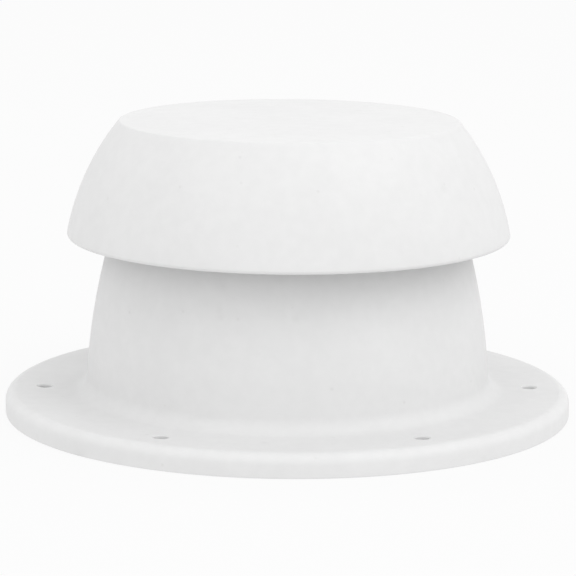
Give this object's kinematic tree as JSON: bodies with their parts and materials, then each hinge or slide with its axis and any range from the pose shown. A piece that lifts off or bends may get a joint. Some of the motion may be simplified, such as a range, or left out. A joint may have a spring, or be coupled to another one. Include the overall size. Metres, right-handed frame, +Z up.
{
  "type": "mushroom vent",
  "caption": "Round screw-down mushroom vent: a drilled deck flange with a bell-shaped neck under a rain cap that a hand knob inside lowers onto a seal.",
  "frame": {"origin": "centre of the flange's underside, on the vent's axis, where the vent meets the deck", "axes": "+Z up along the vent's axis, out of the deck; +X through a mounting hole"},
  "size_m": [0.21, 0.21, 0.1091],
  "materials": {
    "white_abs": "fine moulded texture, satin",
    "white_nylon": "smooth moulded, satin",
    "knob_plastic": "fine moulded texture, satin",
    "washer_nylon": "natural nylon, satin",
    "foam_rubber": "closed-cell foam, matt",
    "seal_rubber": "moulded rubber, matt",
    "screw_steel": "passivated stainless steel",
    "spindle_steel": "turned stainless steel",
    "clip_steel": "stamped spring steel",
    "pin_steel": "ground stainless steel",
    "mesh_steel": "woven stainless wire",
    "bush_brass": "turned brass"
  },
  "bodies": {
    "base": {"base_shell": "white_abs", "deck_gasket": "foam_rubber", "bridge": "white_nylon", "bridge_screws": "screw_steel", "spindle_bush": "bush_brass", "insect_mesh": "mesh_steel", "mesh_frame": "white_nylon", "frame_screws": "screw_steel"},
    "spindle_group": {"spindle": "spindle_steel", "upper_washer": "washer_nylon", "lower_washer": "washer_nylon", "retaining_clip": "clip_steel", "stop_clip": "clip_steel", "hand_knob": "knob_plastic", "knob_washer": "screw_steel", "knob_screw": "screw_steel"},
    "cap": {"cap_shell": "white_abs", "seal_plate": "white_nylon", "seal_ring": "seal_rubber", "seal_plate_screws": "screw_steel", "lift_nut": "bush_brass", "lift_nut_screws": "screw_steel", "guide_pins": "pin_steel"}
  },
  "joints": [
    {"name": "knob_turn", "type": "hinge", "parent": "base", "child": "spindle_group", "pos_m": [0, 0, 0.03], "axis": [0, 0, 1], "range_deg": [0, 1260]},
    {"name": "cap_lift", "type": "slide", "parent": "base", "child": "cap", "axis": [0, 0, 1], "range_m": [-0.014, 0]}
  ],
  "couplings": [
    {"joint": "knob_turn", "follows": "cap_lift", "rad_per_m": -1570.8}
  ]
}
